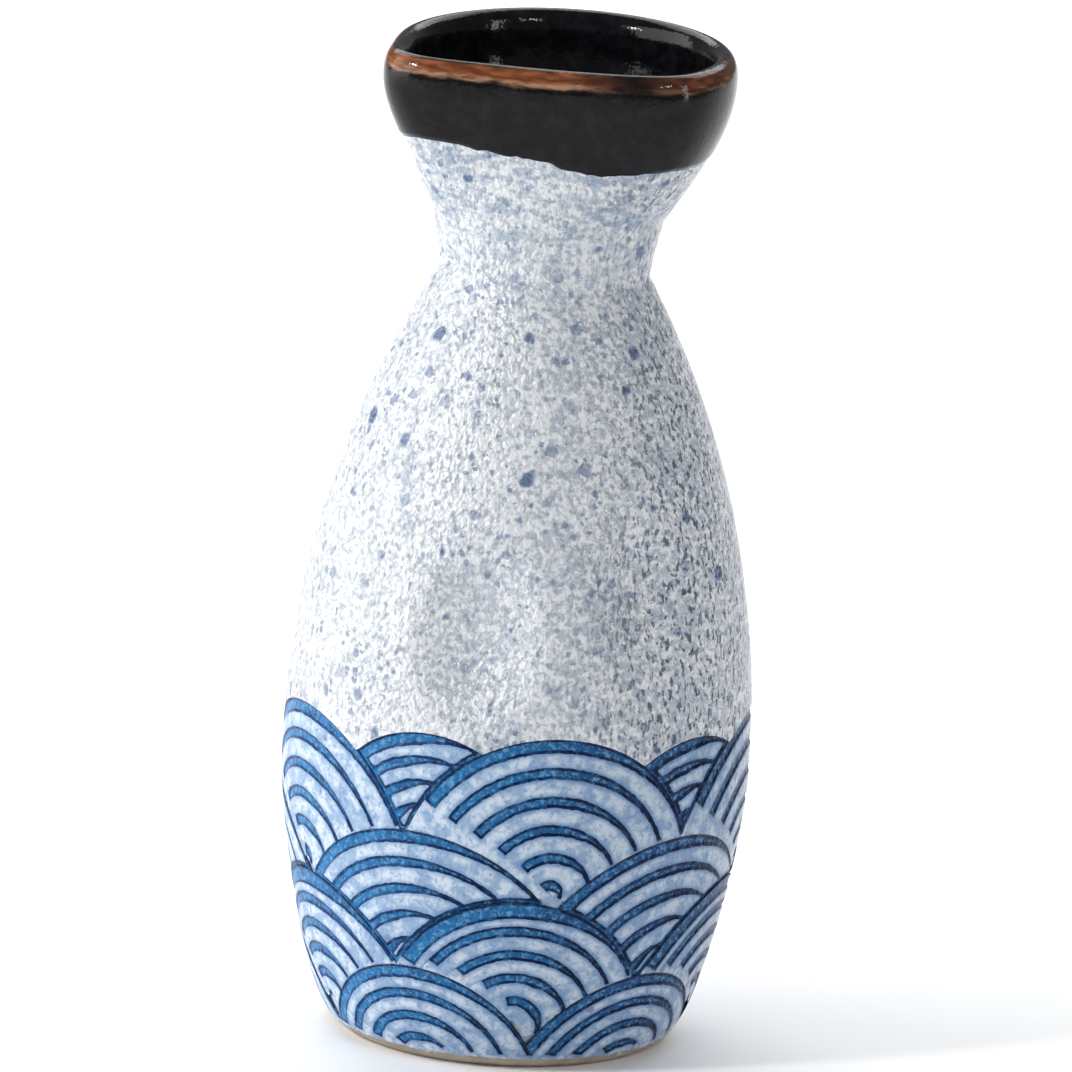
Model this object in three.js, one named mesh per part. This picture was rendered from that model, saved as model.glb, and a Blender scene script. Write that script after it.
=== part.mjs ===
// A sake bottle (tokkuri): a thrown stoneware wall that carries four fired coats.
//
// The bottle stands on the XY plane with its axis on +Z, and its pressed front faces -Y.
// Every piece is a ring of the same form: an outline turned about the axis, then pushed in where the
// potter's fingers pressed the belly and where the mouth was squeezed to make the pouring corner.
// Angles are measured about +Z from +X, so the front is at -90 degrees. Lengths are millimetres.

import * as THREE from "three";

// Overall sizes of the outside, measured on the pale coat. A drop is measured down from the lip's top.
const HEIGHT = 150;
const FOOT_RADIUS = 24.3;
const BELLY_RADIUS = 35;
const BELLY_HEIGHT = 42;
const NECK_RADIUS = 14.1;
const NECK_DROP = 32;
const COLLAR_RADIUS = 25.45;
const COLLAR_DROP = 4;

// How far the outline runs straight on from each of those places before it turns.
const FOOT_ROUND = 4;
const BELLY_RISE = 13.6;
const SHOULDER_RISE = 46.8;
const NECK_BELOW = 1.3;
const NECK_ABOVE = 2.3;
const COLLAR_BELOW = 10.3;
const STRAIGHT_LIP = 0.6;

// The clay wall, thickest in the belly and thinned towards the lip.
const BODY_WALL = 3.6;
const LIP_WALL = 2.5;
const FLOOR = 5.5;
const FLOOR_ROUND = 8;
const FOOT_RING_WIDTH = 4;
const FOOT_RECESS = 1.4;

// The coats, and the room kept between a coat and what lies next to it.
const PALE_COAT = 0.45;
const DARK_STEP = 0.2;
const LINING_COAT = 0.5;
const CLEARANCE = 0.3;
const BARE_FOOT = 2;
const LINING_ABOVE_NECK = 8;

// The squeezed mouth: a flat pressed across the front, and the pouring corner at its left end.
const FLAT_DISTANCE = 17.2;
const FLAT_ANGLE = -98;
const FLAT_SHARPNESS = 8;
const SPOUT_REACH = 2;
const SPOUT_ANGLE = -157.7;
const SPOUT_WIDTH = 16;
const SQUEEZE_DROP = 8;
const SPOUT_DROP = 20;

// The press that made the flat also tilted the lip down to the flat's side and leaned the collar over.
const LIP_TILT = 1.65;
const COLLAR_LEAN = 1.1;

// The two finger dents in the belly: angle, height, half width in degrees, half height and depth.
const DENTS = [
  { angle: -101.5, height: 66.7, halfWidth: 20, halfHeight: 15.5, depth: 3.7 },
  { angle: -57, height: 72.6, halfWidth: 18, halfHeight: 17, depth: 2.2 },
];

// The lower edge of the dark coat: its drop, its slope to one side and its slow drips.
const DIP_DROP = 14.7;
const DIP_SLOPE = { amount: 1.2, angle: -165 };
const DIP_DRIPS = [
  { amount: -0.75, count: 3, angle: -74 },
  { amount: -0.3, count: 7, angle: -72 },
];

// The scalloped top of the wave band: two staggered rings of fans.
const FAN_COUNT = 5;
const FAN_RADIUS = 23.5;
const FRONT_FANS = { angle: -81, height: 52.3 };
const REAR_FANS = { angle: -40.5, height: 51.6 };

// How finely the solids are divided.
const SEGMENTS = 40;
const RINGS_BELOW_BELLY = 4;
const RINGS_TO_NECK = 9;
const RINGS_ABOVE_NECK = 8;
const RING_CROWDING = 1.5;
const ROUND_STEPS = 4;

const { degToRad, euclideanModulo, lerp, smoothstep } = THREE.MathUtils;
const TURN = 2 * Math.PI;
const NECK_HEIGHT = HEIGHT - NECK_DROP;
const COLLAR_HEIGHT = HEIGHT - COLLAR_DROP;

// The outline of the pale coat, from the foot to the widest place of the collar.
const at = (radius, height) => new THREE.Vector2(radius, height);
const OUTLINE = [
  new THREE.CubicBezierCurve(
    at(FOOT_RADIUS, 0),
    at(FOOT_RADIUS + FOOT_ROUND, 0),
    at(BELLY_RADIUS, BELLY_HEIGHT - BELLY_RISE),
    at(BELLY_RADIUS, BELLY_HEIGHT),
  ),
  new THREE.CubicBezierCurve(
    at(BELLY_RADIUS, BELLY_HEIGHT),
    at(BELLY_RADIUS, BELLY_HEIGHT + SHOULDER_RISE),
    at(NECK_RADIUS, NECK_HEIGHT - NECK_BELOW),
    at(NECK_RADIUS, NECK_HEIGHT),
  ),
  new THREE.CubicBezierCurve(
    at(NECK_RADIUS, NECK_HEIGHT),
    at(NECK_RADIUS, NECK_HEIGHT + NECK_ABOVE),
    at(COLLAR_RADIUS, COLLAR_HEIGHT - COLLAR_BELOW),
    at(COLLAR_RADIUS, COLLAR_HEIGHT),
  ),
];

// The outline's radius at a height. Each curve climbs all the way, so halving finds the place.
function radiusAt(height) {
  if (height >= COLLAR_HEIGHT) return COLLAR_RADIUS;
  const curve = OUTLINE.find((c) => height <= c.v3.y);
  let low = 0;
  let high = 1;
  while (high - low > 1e-7) {
    const middle = (low + high) / 2;
    if (curve.getPoint(middle).y < height) low = middle;
    else high = middle;
  }
  return curve.getPoint(low).x;
}

// The angle from one direction to another, between minus and plus half a turn.
function angleBetween(angle, other) {
  return euclideanModulo(angle - other + Math.PI, TURN) - Math.PI;
}

// The radius of the squeezed lip: the collar's circle and the flat's straight line, blended.
function squeezedRadius(angle) {
  const facing = Math.max(Math.cos(angleBetween(angle, degToRad(FLAT_ANGLE))), 0);
  const circle = COLLAR_RADIUS ** -FLAT_SHARPNESS;
  const flat = (facing / FLAT_DISTANCE) ** FLAT_SHARPNESS;
  return (circle + flat) ** (-1 / FLAT_SHARPNESS);
}

// How far the wall is pushed out at an angle and a height; a push inwards is negative.
function push(angle, height) {
  const squeeze = smoothstep(height, NECK_HEIGHT, HEIGHT - SQUEEZE_DROP);
  let total = squeeze * (squeezedRadius(angle) - COLLAR_RADIUS);
  const aside = angleBetween(angle, degToRad(SPOUT_ANGLE)) / degToRad(SPOUT_WIDTH);
  const spout = smoothstep(height, HEIGHT - SPOUT_DROP, COLLAR_HEIGHT);
  total += SPOUT_REACH * spout * Math.exp(-(aside ** 2));
  for (const dent of DENTS) {
    const across = angleBetween(angle, degToRad(dent.angle)) / degToRad(dent.halfWidth);
    const along = (height - dent.height) / dent.halfHeight;
    const reach = Math.min(Math.hypot(across, along), 1);
    total -= dent.depth * (1 - reach ** 2) ** 2;
  }
  return total;
}

// Where a point of the wall ends up: pushed, tilted and leaned.
function onForm(angle, radius, height) {
  const r = radius > 0 ? radius + push(angle, height) : 0;
  const lean = COLLAR_LEAN * smoothstep(height, NECK_HEIGHT, HEIGHT - SQUEEZE_DROP);
  const facing = (1 + Math.cos(angleBetween(angle, degToRad(FLAT_ANGLE)))) / 2;
  const tilt = LIP_TILT * facing * smoothstep(height, NECK_HEIGHT, COLLAR_HEIGHT);
  return new THREE.Vector3(r * Math.cos(angle) + lean, r * Math.sin(angle), height - tilt);
}

// The lower edge of the dark coat.
function dipEdge(angle) {
  const slope = DIP_SLOPE.amount * Math.cos(angle - degToRad(DIP_SLOPE.angle));
  const drips = DIP_DRIPS.map((d) => d.amount * Math.cos(d.count * (angle - degToRad(d.angle))));
  return drips.reduce((sum, drip) => sum + drip, HEIGHT - DIP_DROP + slope);
}

// The upper edge of the wave band: the highest of the fans' round tops.
function waveEdge(angle) {
  const spacing = TURN / FAN_COUNT;
  const tops = [FRONT_FANS, REAR_FANS].map((fans) => {
    const offset = euclideanModulo(angle - degToRad(fans.angle) + spacing / 2, spacing) - spacing / 2;
    const across = Math.min(Math.abs(offset) * BELLY_RADIUS, FAN_RADIUS);
    return fans.height - FAN_RADIUS + Math.sqrt(FAN_RADIUS ** 2 - across ** 2);
  });
  return Math.max(...tops);
}

// The heights of the rings that all the layers share, crowded towards the first height of a run.
function ringHeights(from, to, count, crowding) {
  return Array.from({ length: count }, (_, i) => lerp(from, to, ((i + 1) / count) ** crowding));
}
const LIP_START = COLLAR_HEIGHT + STRAIGHT_LIP;
const RINGS = [
  ...ringHeights(BELLY_HEIGHT, BARE_FOOT, RINGS_BELOW_BELLY, 1).reverse(),
  ...ringHeights(NECK_HEIGHT, BELLY_HEIGHT, RINGS_TO_NECK, RING_CROWDING).reverse(),
  NECK_HEIGHT,
  ...ringHeights(NECK_HEIGHT, LIP_START, RINGS_ABOVE_NECK, RING_CROWDING),
];

// A point of a profile is a function of the angle that gives a radius and a height.
// onWall lies a stated depth under the outline; fixed lies where it is told all the way round.
const onWall = (depth, height) => (angle) => {
  const z = typeof height === "function" ? height(angle) : height;
  return at(radiusAt(z) - (typeof depth === "function" ? depth(z) : depth), z);
};
const fixed = (radius, height) => () => at(radius, height);

// The shared rings that lie between two heights and clear of both.
const RING_ROOM = 0.7;
function ringsBetween(low, high) {
  return RINGS.filter((z) => z > low + RING_ROOM && z < high - RING_ROOM);
}

// A run up a wall from one edge to another, each a height or a function of the angle.
function climb(depth, low, high) {
  const angles = Array.from({ length: SEGMENTS }, (_, i) => (i / SEGMENTS) * TURN);
  const from = typeof low === "function" ? Math.max(...angles.map(low)) : low;
  const to = typeof high === "function" ? Math.min(...angles.map(high)) : high;
  return [low, ...ringsBetween(from, to), high].map((z) => onWall(depth, z));
}

// The round of the lip between two depths, from the outside over the top to the inside.
function lipRound(outerDepth, innerDepth, top) {
  const middle = COLLAR_RADIUS - (outerDepth + innerDepth) / 2;
  const round = new THREE.EllipseCurve(
    middle, LIP_START, (innerDepth - outerDepth) / 2, top - LIP_START, 0, Math.PI,
  );
  return round.getPoints(2 * ROUND_STEPS).slice(1, -1).map((p) => fixed(p.x, p.y));
}

// The inside bottom, from the wall down to the axis, a stated height over the clay floor.
function bowl(depth, raised) {
  const level = FLOOR + raised;
  const start = FLOOR + FLOOR_ROUND;
  const wide = radiusAt(start) - depth(start);
  const corner = new THREE.EllipseCurve(
    wide - FLOOR_ROUND, start, FLOOR_ROUND, start - level, 0, -Math.PI / 2, true,
  );
  const turn = corner.getPoints(ROUND_STEPS).map((p) => fixed(p.x, p.y));
  return [...turn, fixed(0, level)];
}

// Turns a profile about the axis: the lathe gives the vertices, and each is then put on the form.
// Every four-cornered face is split along the diagonal that rises with the angle, so that the faces
// of neighbouring layers stay parallel where a dent twists them.
function turned(profile) {
  const geometry = new THREE.LatheGeometry(profile.map((point) => point(0)), SEGMENTS);
  const position = geometry.getAttribute("position");
  for (let i = 0; i < position.count; i += 1) {
    const angle = (Math.floor(i / profile.length) / SEGMENTS) * TURN;
    const { x: radius, y: height } = profile[i % profile.length](angle);
    const place = onForm(angle, radius, height);
    position.setXYZ(i, place.x, place.y, place.z);
  }
  const faces = [];
  for (let i = 0; i < SEGMENTS; i += 1) {
    for (let j = 0; j < profile.length - 1; j += 1) {
      const here = i * profile.length + j;
      const next = here + profile.length;
      const rising = profile[j + 1](0).y > profile[j](0).y;
      if (rising) faces.push(here, next, next + 1, here, next + 1, here + 1);
      else faces.push(here, next, here + 1, next, next + 1, here + 1);
    }
  }
  geometry.setIndex(faces);
  geometry.computeVertexNormals();
  return geometry;
}

// A coat's profile goes up one side and down the other, and closes on itself.
const closed = (profile) => [...profile, profile[0]];

// Depths of the layers under the outline, from the outside in.
const CLAY_FACE = PALE_COAT + CLEARANCE;
const wallAt = (z) => lerp(BODY_WALL, LIP_WALL, smoothstep(z, NECK_HEIGHT, COLLAR_HEIGHT));
const clayInside = (z) => CLAY_FACE + wallAt(z);
const liningOutside = (z) => clayInside(z) + CLEARANCE;
const liningInside = (z) => liningOutside(z) + LINING_COAT;

// The tops of the layers over the lip.
const DARK_COAT = DARK_STEP + PALE_COAT;
const DARK_TOP = HEIGHT;
const DARK_UNDERSIDE = DARK_TOP - DARK_COAT;
const CLAY_TOP = DARK_UNDERSIDE - CLEARANCE;

function clayBody() {
  const outside = climb(CLAY_FACE, BARE_FOOT, LIP_START);
  const inside = climb(clayInside, FLOOR + FLOOR_ROUND, LIP_START).reverse().slice(0, -1);
  const footOuter = FOOT_RADIUS - CLAY_FACE;
  const footInner = footOuter - FOOT_RING_WIDTH;
  return turned([
    fixed(0, FOOT_RECESS),
    fixed(footInner - FOOT_RECESS, FOOT_RECESS),
    fixed(footInner, 0),
    fixed(footOuter, 0),
    ...outside,
    ...lipRound(CLAY_FACE, clayInside(LIP_START), CLAY_TOP),
    ...inside,
    ...bowl(clayInside, 0),
  ]);
}

// The glaze poured into the bottle and swirled, up to the throat.
function liningGlaze() {
  const start = FLOOR + FLOOR_ROUND;
  const top = NECK_HEIGHT + LINING_ABOVE_NECK - CLEARANCE / 2;
  const under = climb(liningOutside, start, top).slice(1);
  const face = climb(liningInside, start, top).reverse().slice(0, -1);
  return turned([
    ...bowl(liningOutside, CLEARANCE).reverse(),
    ...under,
    ...face,
    ...bowl(liningInside, CLEARANCE + LINING_COAT),
  ]);
}

// A coat on the outside of the clay between two edges.
function outerCoat(low, high) {
  const face = climb(0, low, high);
  const back = climb(PALE_COAT, low, high).reverse();
  return turned(closed([...face, ...back]));
}

// The dark coat that the mouth was dipped in: up the collar, over the lip and down to the throat.
function mouthGlaze() {
  const low = NECK_HEIGHT + LINING_ABOVE_NECK + CLEARANCE / 2;
  const insideFace = climb(liningInside, low, LIP_START);
  const insideBack = climb(liningOutside, low, LIP_START);
  const over = lipRound(-DARK_STEP, liningInside(LIP_START), DARK_TOP);
  const under = lipRound(PALE_COAT, liningOutside(LIP_START), DARK_UNDERSIDE);
  return turned(closed([
    ...climb(-DARK_STEP, dipEdge, LIP_START),
    ...over,
    ...insideFace.reverse(),
    ...insideBack,
    ...under.reverse(),
    ...climb(PALE_COAT, dipEdge, LIP_START).reverse(),
  ]));
}

function piece(name, geometry, color, roughness) {
  const material = new THREE.MeshStandardMaterial({ color, roughness, metalness: 0 });
  const mesh = new THREE.Mesh(geometry, material);
  mesh.name = name;
  return mesh;
}

const belowDip = (angle) => dipEdge(angle) - CLEARANCE;
const aboveWaves = (angle) => waveEdge(angle) + CLEARANCE;

const bottle = new THREE.Group();
bottle.name = "sake_bottle";
bottle.add(
  piece("clay_body", clayBody(), 0xb9ab97, 0.9),
  piece("lining_glaze", liningGlaze(), 0x17181b, 0.12),
  piece("body_glaze", outerCoat(aboveWaves, belowDip), 0xd6dde6, 0.2),
  piece("wave_band", outerCoat(BARE_FOOT, waveEdge), 0x5f86b8, 0.2),
  piece("mouth_glaze", mouthGlaze(), 0x1d1c1e, 0.12),
);

export default bottle;
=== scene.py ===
"""A sake bottle on a pale studio table: its clay wall, its fired coats and the wave lines cut round it.

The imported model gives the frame. Every piece here is a fine skin that stands for one of its nodes, or a
fan of wave lines that lies on the wave band. Sizes are in millimetres and degrees, and become metres
where a mesh is made. Angles are measured about +Z from +X, so the front of the bottle is at -90.
"""

from __future__ import annotations

import logging
import math
from dataclasses import dataclass, field, replace
from enum import Enum
from typing import Callable, Dict, List, Optional, Sequence, Tuple, Union

import bpy
import numpy as np
from mathutils import Matrix, Vector, noise

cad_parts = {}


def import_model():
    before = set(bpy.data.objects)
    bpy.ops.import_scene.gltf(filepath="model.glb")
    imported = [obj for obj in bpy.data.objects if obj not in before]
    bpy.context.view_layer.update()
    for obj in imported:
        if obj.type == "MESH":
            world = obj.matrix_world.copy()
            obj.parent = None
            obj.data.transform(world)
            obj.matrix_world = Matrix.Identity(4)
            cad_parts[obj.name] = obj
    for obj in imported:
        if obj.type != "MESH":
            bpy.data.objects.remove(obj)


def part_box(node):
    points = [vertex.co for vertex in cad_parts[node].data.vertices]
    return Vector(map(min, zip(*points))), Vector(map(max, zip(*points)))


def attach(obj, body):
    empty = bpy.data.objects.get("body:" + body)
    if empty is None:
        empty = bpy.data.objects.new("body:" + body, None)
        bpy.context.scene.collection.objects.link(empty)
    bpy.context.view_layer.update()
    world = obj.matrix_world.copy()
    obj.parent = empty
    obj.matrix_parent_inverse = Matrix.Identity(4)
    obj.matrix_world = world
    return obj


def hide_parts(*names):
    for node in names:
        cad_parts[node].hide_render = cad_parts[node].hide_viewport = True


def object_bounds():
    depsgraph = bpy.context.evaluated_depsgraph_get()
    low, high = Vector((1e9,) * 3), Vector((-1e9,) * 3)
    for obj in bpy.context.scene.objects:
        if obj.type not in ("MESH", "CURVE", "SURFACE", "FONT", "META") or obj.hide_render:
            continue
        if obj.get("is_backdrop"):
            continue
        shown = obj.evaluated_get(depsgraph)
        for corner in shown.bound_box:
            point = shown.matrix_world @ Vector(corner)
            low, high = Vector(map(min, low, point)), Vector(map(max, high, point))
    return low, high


LOG = logging.getLogger("sake_bottle")
MM = 0.001
BODY = "root"

Array = np.ndarray
Edge = Callable[[Array], Array]
Colour = Tuple[float, float, float]


# ---- Shader bench ----


class Value:
    """A number in a material, such as a mask: arithmetic on it adds Math nodes."""

    def __init__(self, bench: "Bench", socket: bpy.types.NodeSocket) -> None:
        """Keeps the material's bench and the output socket that carries the number."""
        self.bench = bench
        self.socket = socket

    def math(self, operation: str, *others: Number, flip: bool = False) -> "Value":
        """Adds one Math node, with this number as its first input, or as its second if flip is set."""
        order = [*others, self] if flip else [self, *others]
        return self.bench.node("Math", {"operation": operation}, dict(enumerate(order)))

    def __add__(self, other: Number) -> "Value":
        """Sum."""
        return self.math("ADD", other)

    def __sub__(self, other: Number) -> "Value":
        """Difference."""
        return self.math("SUBTRACT", other)

    def __rsub__(self, other: Number) -> "Value":
        """Difference, with this number taken away."""
        return self.math("SUBTRACT", other, flip=True)

    def __mul__(self, other: Number) -> "Value":
        """Product."""
        return self.math("MULTIPLY", other)

    def least(self, other: Number, blend: float) -> "Value":
        """The smaller of two numbers, rounded where they meet."""
        return self.math("SMOOTH_MIN", other, blend)

    def most(self, other: Number, blend: float) -> "Value":
        """The larger of two numbers, rounded where they meet."""
        return self.math("SMOOTH_MAX", other, blend)

    def rise(self, low: Number, high: Number) -> "Value":
        """Goes smoothly from 0 at low to 1 at high."""
        settings = {"interpolation_type": "SMOOTHSTEP"}
        return self.bench.node("MapRange", settings, {"Value": self, "From Min": low, "From Max": high})

    def fall(self, low: Number, high: Number) -> "Value":
        """Goes smoothly from 1 at low to 0 at high."""
        return 1.0 - self.rise(low, high)


Number = Union[float, Value]


class Bench:
    """Where one material is put together."""

    def __init__(self, name: str) -> None:
        """Starts an empty material.

        Args:
            name: the material's name.
        """
        self.material = bpy.data.materials.new(name)
        self.material.use_nodes = True
        self.tree = self.material.node_tree
        self.tree.nodes.clear()

    def node(
        self,
        kind: str,
        settings: Optional[Dict[str, object]] = None,
        inputs: Optional[Dict[Union[int, str], object]] = None,
        output: Union[int, str] = 0,
    ) -> Value:
        """Adds any shader node: its settings are set first, then its inputs.

        Args:
            kind: the node's type without the ShaderNode prefix.
            settings: attributes of the node.
            inputs: socket name or number to a constant or a Value.
            output: the output socket to hand back.

        Returns:
            The chosen output.
        """
        node = self.tree.nodes.new("ShaderNode" + kind)
        for key, setting in (settings or {}).items():
            setattr(node, key, setting)
        for key, given in (inputs or {}).items():
            if isinstance(given, Value):
                self.tree.links.new(given.socket, node.inputs[key])
            else:
                node.inputs[key].default_value = given
        return Value(self, node.outputs[output])

    def blend(self, factor: Number, low: object, high: object) -> Value:
        """Mixes two colours.

        Args:
            factor: 0 gives low and 1 gives high.
            low: a colour or a link.
            high: a colour or a link.

        Returns:
            The mixed colour.
        """
        ends = [(*c, 1.0) if isinstance(c, tuple) else c for c in (low, high)]
        settings = {"data_type": "RGBA", "clamp_factor": True}
        return self.node("Mix", settings, {0: factor, 6: ends[0], 7: ends[1]}, output=2)

    def place(self) -> Value:
        """The place on the bottle, in millimetres."""
        source = self.node("TexCoord", output="Object")
        return self.node("VectorMath", {"operation": "SCALE"}, {0: source, "Scale": 1.0 / MM}, output=0)

    def axis(self, source: Value, name: str) -> Value:
        """One coordinate of a place: X runs to the right and Z up."""
        return self.node("SeparateXYZ", {}, {0: source}, output=name)

    def stretched(self, source: Value, factors: Sequence[float]) -> Value:
        """A place multiplied by a factor along each axis."""
        return self.node("VectorMath", {"operation": "MULTIPLY"}, {0: source, 1: tuple(factors)})

    def shaken(self, source: Value, grain: float, amount: float) -> Value:
        """A place moved about by a noise.

        Args:
            source: the place, in millimetres.
            grain: the noise's grain, in millimetres.
            amount: how far a place moves, in millimetres.

        Returns:
            The moved place.
        """
        drift = self.node("TexNoise", {}, {"Vector": source, "Scale": 1.0 / grain}, output="Color")
        centred = self.node("VectorMath", {"operation": "SUBTRACT"}, {0: drift, 1: (0.5, 0.5, 0.5)})
        drift = self.node("VectorMath", {"operation": "SCALE"}, {0: centred, "Scale": 2.0 * amount})
        return self.node("VectorMath", {"operation": "ADD"}, {0: source, 1: drift})

    def cloud(self, source: Value, grain: float, detail: float = 2.0, rough: float = 0.5) -> Value:
        """Soft noise around one half, with patches of a grain in millimetres and finer layers on them."""
        inputs = {"Vector": source, "Scale": 1.0 / grain, "Detail": detail, "Roughness": rough}
        return self.node("TexNoise", {}, inputs)

    def spots(self, source: Value, cell: float, share: float, small: float, large: float) -> Value:
        """Round soft spots, each in its own cell.

        Args:
            source: the place, in millimetres.
            cell: the distance between spots, in millimetres.
            share: the share of the cells that have a spot.
            small: the smallest spot's radius over the cell.
            large: the largest spot's radius over the cell.

        Returns:
            A mask that is 1 in a spot.
        """
        inputs = {"Vector": source, "Scale": 1.0 / cell}
        distance = self.node("TexVoronoi", {}, inputs, output="Distance")
        chance = self.node("TexVoronoi", {}, inputs, output="Color")
        size = self.node("SeparateColor", {}, {0: chance}, output=0)
        draw = self.node("SeparateColor", {}, {0: chance}, output=1)
        radius = size * size * (large - small) + small
        spot = (radius - distance).rise(-0.04, 0.08)
        return spot * draw.fall(share - 0.02, share + 0.02)

    def attribute(self, name: str) -> Value:
        """A number stored at the mesh's points."""
        return self.node("Attribute", {"attribute_name": name}, output="Fac")

    def relief(self, height: Value, depth: float, under: Optional[Value] = None) -> Value:
        """The normal of a small relief.

        Args:
            height: its height, from 0 to 1.
            depth: how deep 1 is, in millimetres.
            under: the normal of a coarser relief that it lies on.

        Returns:
            The normal.
        """
        inputs: Dict[Union[int, str], object] = {"Height": height, "Distance": depth * MM}
        if under is not None:
            inputs["Normal"] = under
        return self.node("Bump", {}, inputs)

    def finish(self, sockets: Dict[str, object]) -> bpy.types.Material:
        """Ends the material with one shader.

        Args:
            sockets: the Principled shader's sockets, each a constant or a link.

        Returns:
            The finished material.
        """
        shader = self.node("BsdfPrincipled", {}, sockets)
        out = self.tree.nodes.new("ShaderNodeOutputMaterial")
        self.tree.links.new(shader.socket, out.inputs["Surface"])
        return self.material


# ---- Finishes ----


@dataclass(frozen=True)
class PaleGlaze:
    """The pale snow glaze of the body: glossy, wrinkled like orange peel and flecked with blue."""

    snow: Colour = (0.68, 0.70, 0.72)
    mist: Colour = (0.24, 0.29, 0.37)
    fleck: Colour = (0.09, 0.15, 0.27)
    blot: Colour = (0.035, 0.08, 0.21)
    pit: Colour = (0.035, 0.055, 0.095)
    smear: Colour = (0.16, 0.24, 0.36)
    neck: float = 118.0
    # Where the left finger dent gets bluer mottling: partly pooled glaze, partly painted shade.
    dent_shade_across: Tuple[float, float, float, float] = (-17.0, -11.0, -4.0, 3.0)
    dent_shade_up: Tuple[float, float, float, float] = (54.0, 62.0, 74.0, 82.0)

    def grain(self, bench: Bench, place: Value) -> Value:
        """The wrinkles: a fine winding relief, from 0 to 1."""
        drift = bench.shaken(bench.stretched(place, (1.0, 1.0, 0.8)), 1.4, 0.5)
        return bench.cloud(drift, 0.85, 1.5, 0.55)

    def ground(self, bench: Bench, place: Value) -> Value:
        """The glaze's colour: snow with grey blue in the wrinkles; painted shade towards +X and in the left
        finger dent, where glaze also pools.

        Args:
            bench: the material's bench.
            place: the place, in millimetres.

        Returns:
            The colour.
        """
        side = bench.axis(place, "X")
        height = bench.axis(place, "Z")
        dent = side.rise(*self.dent_shade_across[:2]) * side.fall(*self.dent_shade_across[2:])
        dent = dent * height.rise(*self.dent_shade_up[:2]) * height.fall(*self.dent_shade_up[2:])
        patches = bench.cloud(place, 11.0, 3.0, 0.6).rise(0.34, 0.66)
        # More mottling towards +X: painted shade on the side away from the key light.
        crowd = patches * 0.09 + side.rise(-12.0, 30.0) * 0.09
        # Bluer mottling in the left half of the front finger dent: partly pooled glaze, partly painted shade.
        crowd = crowd + dent * 0.07
        fine = bench.cloud(bench.shaken(place, 1.2, 0.45), 1.05, 2.5, 0.6) + crowd
        hollows = self.grain(bench, place).fall(0.30, 0.46)
        colour = bench.blend(fine.rise(0.50, 0.70) * 0.62, self.snow, self.mist)
        return bench.blend(hollows * 0.6, colour, self.mist)

    def flecked(self, bench: Bench, place: Value, ground: Value) -> Value:
        """Adds the blue flecks, from fine grains to wide blots.

        Args:
            bench: the material's bench.
            place: the place, in millimetres.
            ground: the colour under the flecks.

        Returns:
            The flecked colour.
        """
        loose = bench.shaken(place, 0.9, 0.5)
        crowd = bench.cloud(place, 16.0, 2.0).rise(0.36, 0.62)
        grains = bench.spots(loose, 1.35, 0.6, 0.16, 0.46) * (crowd * 0.5 + 0.25)
        flecks = bench.spots(loose, 2.6, 0.5, 0.14, 0.40) * (crowd * 0.35 + 0.5)
        blots = bench.spots(bench.shaken(place, 1.3, 0.7), 4.8, 0.30, 0.10, 0.30) * 0.85
        colour = bench.blend(grains, ground, self.fleck)
        colour = bench.blend(flecks * 0.85, colour, self.fleck)
        return bench.blend(blots, colour, self.blot)

    def pitted_with_side_shade(self, bench: Bench, place: Value, colour: Value) -> Value:
        """Adds the dark pits, drawn out downwards; they crowd towards +X as painted shade on the side away
        from the key light.

        Args:
            bench: the material's bench.
            place: the place, in millimetres.
            colour: the colour round the pits.

        Returns:
            The pitted colour.
        """
        side = bench.axis(place, "X")
        long = bench.stretched(bench.shaken(place, 1.0, 0.3), (1.0, 1.0, 0.5))
        pits = bench.cloud(long, 0.75, 2.0, 0.6).rise(0.52, 0.63)
        # The pits are real; their crowding towards +X is painted shade.
        return bench.blend(pits * (side.rise(-2.0, 24.0) * 0.85 + 0.08), colour, self.pit)

    def smeared(self, bench: Bench, place: Value, colour: Value) -> Value:
        """Adds the blue streaks that ran sideways round the neck and under the collar.

        Args:
            bench: the material's bench.
            place: the place, in millimetres.
            colour: the colour under the streaks.

        Returns:
            The streaked colour.
        """
        height = bench.axis(place, "Z")
        streaks = bench.cloud(bench.stretched(place, (0.5, 0.5, 1.4)), 2.6, 4.0, 0.7).rise(0.46, 0.64)
        zone = height.rise(self.neck - 10.0, self.neck + 10.0)
        return bench.blend(streaks * zone * 0.6, colour, self.smear)

    def peel(self, bench: Bench, place: Value, strength: float) -> Value:
        """The wrinkled surface of the fired glaze, as a normal."""
        return bench.relief(self.grain(bench, place), 0.60 * strength)

    def material(self) -> bpy.types.Material:
        """Builds the material.

        Returns:
            The material.
        """
        bench = Bench("pale_glaze")
        place = bench.place()
        colour = self.flecked(bench, place, self.ground(bench, place))
        colour = self.smeared(bench, place, self.pitted_with_side_shade(bench, place, colour))
        gloss = bench.cloud(place, 3.0, 2.0) * 0.12 + 0.14
        sockets = {
            "Base Color": colour,
            "Roughness": gloss,
            "IOR": 1.52,
            "Normal": self.peel(bench, place, 1.0),
        }
        return bench.finish(sockets)


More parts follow.
